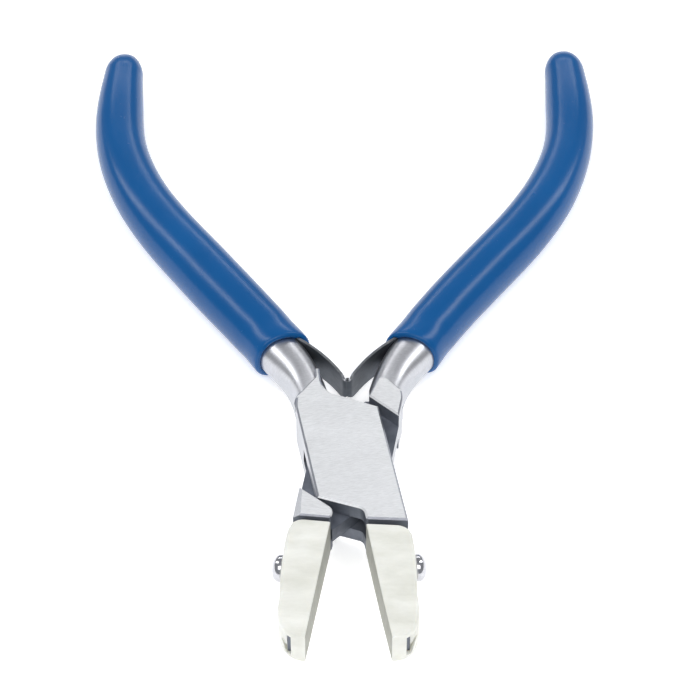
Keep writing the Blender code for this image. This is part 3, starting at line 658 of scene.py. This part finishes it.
# Dark steel for the joint's recessed, shoulder and machined surfaces.
def dark_joint_steel(name):
    m, nt, nodes, links, b = tree(name)
    v = coords(nodes, links)
    mottled = noise(nodes, links, v, 1100.0, 5.0, 0.6)
    broad = noise(nodes, links, v, 260.0, 3.0)
    links.new(ramp(nodes, links, broad, ((0.3, (0.115, 0.128, 0.158)), (0.7, (0.20, 0.218, 0.258)))), b.inputs["Base Color"])
    b.inputs["Metallic"].default_value = 0.55
    links.new(span(nodes, links, mottled, 0.42, 0.62), b.inputs["Roughness"])
    links.new(bump(nodes, links, mottled, 0.5, 0.00004), b.inputs["Normal"])
    return m


def pvc(name):
    m, nt, nodes, links, b = tree(name)
    v = coords(nodes, links)
    broad = noise(nodes, links, v, 45.0, 2.0)
    fine = noise(nodes, links, v, 700.0, 4.0)
    links.new(ramp(nodes, links, broad, ((0.3, (0.001, 0.076, 0.250)), (0.7, (0.002, 0.090, 0.288)))), b.inputs["Base Color"])
    links.new(span(nodes, links, fine, 0.20, 0.28), b.inputs["Roughness"])
    b.inputs["Specular IOR Level"].default_value = 0.28
    first = bump(nodes, links, broad, 0.25, 0.0004)
    links.new(bump(nodes, links, fine, 0.12, 0.00003, first), b.inputs["Normal"])
    return m


def nylon(name):
    m, nt, nodes, links, b = tree(name)
    v = coords(nodes, links)
    broad = noise(nodes, links, coords(nodes, links, 0, (0.7, 1.6, 1)), 150.0, 5.0, 0.62)
    fine = noise(nodes, links, v, 1300.0, 4.0)
    links.new(ramp(nodes, links, broad, ((0.3, (0.70, 0.70, 0.635)), (0.7, (0.87, 0.87, 0.82)))), b.inputs["Base Color"])
    links.new(span(nodes, links, fine, 0.38, 0.5), b.inputs["Roughness"])
    links.new(bump(nodes, links, fine, 0.3, 0.00003, bump(nodes, links, broad, 0.1, 0.0001)), b.inputs["Normal"])
    b.inputs["Subsurface Weight"].default_value = 0.25
    b.inputs["Subsurface Radius"].default_value = (0.0012, 0.0011, 0.0009)
    b.inputs["Subsurface Scale"].default_value = 1.0
    return m


def nylon_face_shaded(name):
    """Gripping face: duller (rougher) and painted darker as painted shade, with mottled streaks."""
    m, nt, nodes, links, b = tree(name)
    v = coords(nodes, links)
    shade_mottle = noise(nodes, links, coords(nodes, links, 0, (1, 4, 1)), 240.0, 5.0, 0.6)
    fine = noise(nodes, links, v, 1300.0, 4.0)
    links.new(ramp(nodes, links, shade_mottle, ((0.3, (0.34, 0.34, 0.295)), (0.7, (0.44, 0.44, 0.39)))), b.inputs["Base Color"])
    links.new(span(nodes, links, fine, 0.5, 0.65), b.inputs["Roughness"])
    links.new(bump(nodes, links, fine, 0.3, 0.00003), b.inputs["Normal"])
    return m


def spring_steel(name):
    m, nt, nodes, links, b = tree(name)
    v = coords(nodes, links, 0, (1, 1, 6))
    fine = noise(nodes, links, v, 700.0, 5.0)
    broad = noise(nodes, links, coords(nodes, links), 180.0, 3.0)
    links.new(ramp(nodes, links, broad, ((0.3, (0.095, 0.108, 0.125)), (0.7, (0.165, 0.182, 0.205)))), b.inputs["Base Color"])
    b.inputs["Metallic"].default_value = 0.85
    links.new(span(nodes, links, fine, 0.32, 0.5), b.inputs["Roughness"])
    links.new(bump(nodes, links, fine, 0.4, 0.00003), b.inputs["Normal"])
    return m


def bright_edge(name):
    m, nt, nodes, links, b = tree(name)
    fine = noise(nodes, links, coords(nodes, links), 900.0, 4.0)
    links.new(ramp(nodes, links, fine, ((0.3, (0.24, 0.25, 0.27)), (0.7, (0.36, 0.37, 0.39)))), b.inputs["Base Color"])
    b.inputs["Metallic"].default_value = 1.0
    links.new(span(nodes, links, fine, 0.25, 0.38), b.inputs["Roughness"])
    return m


def plated(name):
    m, nt, nodes, links, b = tree(name)
    fine = noise(nodes, links, coords(nodes, links), 1500.0, 3.0)
    links.new(ramp(nodes, links, fine, ((0.3, (0.52, 0.52, 0.55)), (0.7, (0.62, 0.62, 0.65)))), b.inputs["Base Color"])
    b.inputs["Metallic"].default_value = 1.0
    links.new(span(nodes, links, fine, 0.10, 0.2), b.inputs["Roughness"])
    links.new(bump(nodes, links, fine, 0.15, 0.00002), b.inputs["Normal"])
    return m


JOINT_DARK = dark_joint_steel("joint_dark_steel")
PLATED = plated("screw_plating")
SPRING = spring_steel("spring_blade")
EDGE = bright_edge("spring_edge")
NYLON_MAT = nylon("nylon_offwhite")
NYLON_FACE_SHADED = nylon_face_shaded("nylon_gripping_face_painted_shade")
PVC = pvc("pvc_blue")
# Chamfer steel painted dark as painted shade along the chamfered edges.
CHAMFER_SHADE = steel("steel_chamfer_painted_shade", 0, (0.34, 0.35, 0.39), (0.28, 0.38), (1, 6, 1))
# One steel in three tints per half: the face copy is painted lighter as painted light, and the side and neck copies
# are painted darker as painted shade.
STEEL_LIT_AND_SHADED = {
    "box": (steel("steel_face_box_painted_light", -REST, (0.905, 0.912, 0.925)), steel("steel_side_box_painted_shade", -REST, (0.62, 0.63, 0.66), (0.42, 0.52), (1, 4, 10)),
            steel("steel_neck_box_painted_shade", -REST, (0.61, 0.615, 0.645), (0.31, 0.39), (1, 8, 1), 0.00001)),
    "tongue": (steel("steel_face_tongue_painted_light", REST, (0.905, 0.912, 0.925)), steel("steel_side_tongue_painted_shade", REST, (0.62, 0.63, 0.66), (0.42, 0.52), (1, 4, 10)),
               steel("steel_neck_tongue_painted_shade", REST, (0.61, 0.615, 0.645), (0.31, 0.39), (1, 8, 1), 0.00001)),
}


def paint_half(obj, which):
    """Ground faces painted lighter as painted light, ground sides and polished neck painted darker as painted shade,
    and dark machined surfaces of a half.
    """
    face, side, neck = STEEL_LIT_AND_SHADED[which]
    obj.data.materials.clear()
    for m in (face, side, neck, JOINT_DARK, CHAMFER_SHADE):
        obj.data.materials.append(m)
    for p in obj.data.polygons:
        x, y, z = (c / MM for c in p.center)
        nx, ny, nz = p.normal
        on_face = (abs(z) < 0.03 or abs(z - T) < 0.03) and abs(nz) > 0.95
        near_face = z < 0.5 or z > T - 0.5
        shoulder = top_edge(x) + (0.4 if which == "tongue" else -0.3)
        in_tongue = which == "tongue" and abs(z - MID) < 1.65 and y < 15.65
        # Index 0 is the steel painted lighter as painted light; 1 and 2 are the copies painted darker as painted
        # shade.
        if on_face:
            k = 0
        elif abs(nx) > 0.9 and abs(x) > W - 0.35:
            k = 1
        # Chamfer faces at the plate edges and jaw root get the steel painted dark as painted shade.
        elif near_face and 0.3 < abs(nz) < 0.95 and y < 16 and abs(nx) > 0.45 and abs(x) > W - 0.6:
            k = 4
        elif near_face and 0.3 < abs(nz) < 0.95 and y < 16 and abs(x) > W - 2.2 and which == "tongue" and y < -8:
            k = 1
        elif near_face and 0.3 < abs(nz) < 0.95 and y < -13.5 and ny < -0.4:
            k = 4
        elif near_face and 0.3 < abs(nz) < 0.95 and y < 16.5:
            k = 0
        elif in_tongue:
            k = 3
        elif y > 16.0 or (y > shoulder + 0.25 and y > 10.5 and abs(x) > (0.2 if which == "tongue" else 0.0)
                          and not (which == "box" and x > -1.0)):
            k = 2
        else:
            k = 3
        p.material_index = k
    return obj


# ------------------------------------------------------------------ the two steel halves
SLOT_LOW, SLOT_HIGH = MID - 1.66, MID + 1.66


def neck_and_handle(side):
    body = steel_handle(side, start=11.0)
    area = [(-80, -60), (80, -60), (80, 160), (-80, 160)] if side < 0 else neck_bound()
    return combine(body, [("INTERSECT", prism(area, 0.0, T))], "neck")


def ear_chamfer():
    """Widening chamfer on the outer front and back edges of the tongue half's jaw root."""
    out = []
    for sign in (-1, 1):
        rings = []
        for y, wide, deep in ((-8.6, 0.45, 0.35), (-16.0, 1.5, 1.1)):
            rings.append([(-W - 0.6, y, MID + sign * (MID - deep - 0.6 * deep / wide)), (-W - 0.6, y, MID + sign * (MID + 0.8)),
                          (-W + wide + 0.8 * wide / deep, y, MID + sign * (MID + 0.8))])
        out.append(skin(rings))
    return out


box = combine(
    prism(box_outline(), 0.0, T, 0.32, name="box"),
    [("UNION", neck_and_handle(-1)),
     ("UNION", core("right", 1)),
     ("DIFFERENCE", prism(slot_outline(), SLOT_LOW, SLOT_HIGH)),
     ("DIFFERENCE", disc_prism(2.255, -1.0, T + 1.0)),
     ("DIFFERENCE", screw_bore("right", 1)),
     ("DIFFERENCE", seat_cutter(-1))], "box_half_steel")
tongue = combine(
    prism(tongue_outline(), MID - 1.6, MID + 1.6, name="tongue"),
    [("UNION", prism(neck_outline(), 0.0, T, 0.3)),
     ("UNION", combine(prism(ear_outline(), 0.0, T, 0.25), [("DIFFERENCE", c) for c in ear_chamfer()], "ear")),
     ("UNION", neck_and_handle(1)),
     ("UNION", core("left", -1)),
     ("DIFFERENCE", disc_prism(2.35, -1.0, T + 1.0)),
     ("DIFFERENCE", screw_bore("left", -1)),
     ("DIFFERENCE", seat_cutter(1))], "tongue_half_steel")
for obj, which, angle, body, cad in ((box, "box", REST, "box_side", "box_half"),
                                     (tongue, "tongue", -REST, "tongue_side", "tongue_half")):
    paint_half(obj, which)
    shade(obj, 24)
    place(obj, angle)
    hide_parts(cad)
    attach(obj, body)

pin = disc_prism(2.25, 0.0, T)
pin.name = "pivot_rivet"
# The rivet uses the face steel painted lighter as painted light.
pin.data.materials.append(STEEL_LIT_AND_SHADED["box"][0])
shade(pin, 40)
place(pin, REST)
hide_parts("pivot_pin")
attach(pin, "box_side")

# ------------------------------------------------------------------ grips, springs, jaws, screws
for name, side, angle, body in (("left", -1, REST, "box_side"), ("right", 1, -REST, "tongue_side")):
    grip = combine(grip_solid(side, name),
                   [("DIFFERENCE", steel_handle(side, grow=0.04, start=MOUTH - 6.0)),
                    ("DIFFERENCE", strip_prism(side, 0, 16, 0.13, ROOT_HW + 0.1))], name + "_grip_pvc")
    grip.data.materials.append(PVC)
    shade(grip, 40)
    place(grip, angle)
    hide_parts(name + "_grip")
    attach(grip, body)

    leaf = blade(side, name + "_spring_blade")
    leaf.data.materials.append(SPRING)
    leaf.data.materials.append(EDGE)
    for p in leaf.data.polygons:
        p.material_index = 1 if abs(p.normal.z) > 0.5 else 0
    shade(leaf, 35)
    place(leaf, angle)
    root, h = spring_root(side)
    rows = spring_path(side)
    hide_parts(name + "_spring")
    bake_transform(leaf)

    rivet = frame["nodes"][name + "_spring_rivet"]
    rivet.data.materials.clear()
    rivet.data.materials.append(SPRING)

for name, side, angle, body in (("left", -1, -REST, "tongue_side"), ("right", 1, REST, "box_side")):
    jaw = combine(nylon_solid(name, side),
                  [("DIFFERENCE", core(name, side, 0.08, -12.0, JAW_TIP - 1.0)),
                   ("DIFFERENCE", tip_pocket(name, side)),
                   ("DIFFERENCE", screw_bore(name, side))], name + "_nylon_sleeve")
    jaw.data.materials.append(NYLON_MAT)
    jaw.data.materials.append(NYLON_FACE_SHADED)
    for p in jaw.data.polygons:
        # Inward-facing gripping faces get the nylon painted darker as painted shade.
        p.material_index = 1 if p.normal.x * side < -0.85 and abs(p.center.x / MM) < 1.2 else 0
    shade(jaw, 30)
    place(jaw, angle)
    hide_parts(name + "_nylon_jaw")
    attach(jaw, body)

    depth = seat_of(name)[0] - 2.75
    profile = [(0.0, -depth), (0.95, -depth), (1.25, -depth + 0.4), (1.25, -0.02), (1.28, 0.0), (2.28, 0.0),
               (2.36, 0.04), (2.4, 0.14), (2.4, 0.5)]
    for k in range(1, 20):
        a = math.radians(90 * k / 20)
        profile.append((2.4 * math.cos(a) ** 0.8, 0.5 + 1.4 * math.sin(a)))
    profile.append((0.0, 1.9))
    screw = revolve(profile, 72)
    def cross(w, r):
        return [(-r, -w), (-w, -w), (-w, -r), (w, -r), (w, -w), (r, -w), (r, w), (w, w), (w, r), (-w, r), (-w, w), (-r, w)]
    recess = skin([[(x, y, z) for x, y in cross(w, r)] for z, w, r in ((0.75, 0.10, 0.25), (1.2, 0.2, 0.8), (2.2, 0.32, 1.5))])
    recess.data.transform(Matrix.Rotation(math.radians(38 if side > 0 else 12), 4, "Z"))
    screw = combine(screw, [("DIFFERENCE", recess)], name + "_pan_screw")
    screw.data.transform(screw_matrix(name, side))
    screw.data.materials.append(PLATED)
    shade(screw, 32)
    place(screw, angle)
    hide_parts(name + "_jaw_screw")
    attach(screw, body)

# ------------------------------------------------------------------ floor, light, camera
LOWEST = min(v for v in (CAD_BOX[0][2],))
floor_mesh = bpy.data.meshes.new("floor")
floor_mesh.from_pydata([(-3, -3, 0), (3, -3, 0), (3, 3, 0), (-3, 3, 0)], [], [(0, 1, 2, 3)])
floor = new_object("floor", floor_mesh)
floor.location = (0, 0, LOWEST - 0.0002)
m, nt, nodes, links, b = tree("floor_pale")
links.new(ramp(nodes, links, noise(nodes, links, coords(nodes, links), 60.0, 3.0), ((0.3, (0.90, 0.90, 0.905)), (0.7, (0.93, 0.93, 0.93)))),
          b.inputs["Base Color"])
b.inputs["Roughness"].default_value = 0.85
b.inputs["Specular IOR Level"].default_value = 0.1
b.inputs["Emission Color"].default_value = (1, 1, 1, 1)
b.inputs["Emission Strength"].default_value = 0.45
floor.data.materials.append(m)

world = bpy.data.worlds.new("studio")
bpy.context.scene.world = world
world.use_nodes = True
world.node_tree.nodes["Background"].inputs["Color"].default_value = (0.93, 0.96, 1.0, 1)
world.node_tree.nodes["Background"].inputs["Strength"].default_value = 0.36


def area(name, location, target, size, power, colour=(1, 1, 1), size_y=None):
    data = bpy.data.lights.new(name, "AREA")
    data.energy = power
    data.color = colour
    data.shape = "RECTANGLE"
    data.size = size
    data.size_y = size_y or size
    obj = new_object(name, data)
    obj.location = location
    obj.rotation_euler = (Vector(target) - Vector(location)).to_track_quat("-Z", "Y").to_euler()
    return obj


area("back_box", (0.0, 0.80, 0.44), (0, 0.03, 0), 0.75, 1.0, (1.0, 1.0, 1.0), 0.10)
area("left_box", (-0.55, 0.30, 0.60), (0, 0.03, 0), 0.16, 2.1, (1.0, 1.0, 1.0), 0.75)
area("right_box", (0.55, 0.30, 0.60), (0, 0.03, 0), 0.16, 2.1, (1.0, 1.0, 1.0), 0.75)
area("front_box", (0.0, -0.55, 0.85), (0, 0.02, 0), 1.0, 5.2, (1.0, 1.0, 1.0), 0.5)

cam_data = bpy.data.cameras.new("camera")
cam_data.lens = 3300.0 / 700.0 * 36.0
cam_data.sensor_width = 36.0
cam_data.clip_start = 0.05
cam_data.clip_end = 10.0
cam = new_object("camera", cam_data)
TILT = math.radians(42.0)
DIST, AIM_Y, AIM_X, YAW = 600.0, 28.58, 0.175, math.radians(-0.55)
right = Vector((1, 0, 0))
up = Vector((0, math.cos(TILT), math.sin(TILT)))
back = Vector((0, -math.sin(TILT), math.cos(TILT)))
spin = Matrix.Rotation(YAW, 4, "Z")
basis = Matrix((right, up, back)).transposed().to_4x4()
origin = Vector((AIM_X, AIM_Y, 0)) + back * DIST
cam.matrix_world = Matrix.Translation(Vector((0, 0, MID * MM))) @ spin @ Matrix.Translation(origin * MM) @ basis
bpy.context.scene.camera = cam
bpy.context.scene.view_settings.view_transform = "Standard"

bpy.context.view_layer.update()
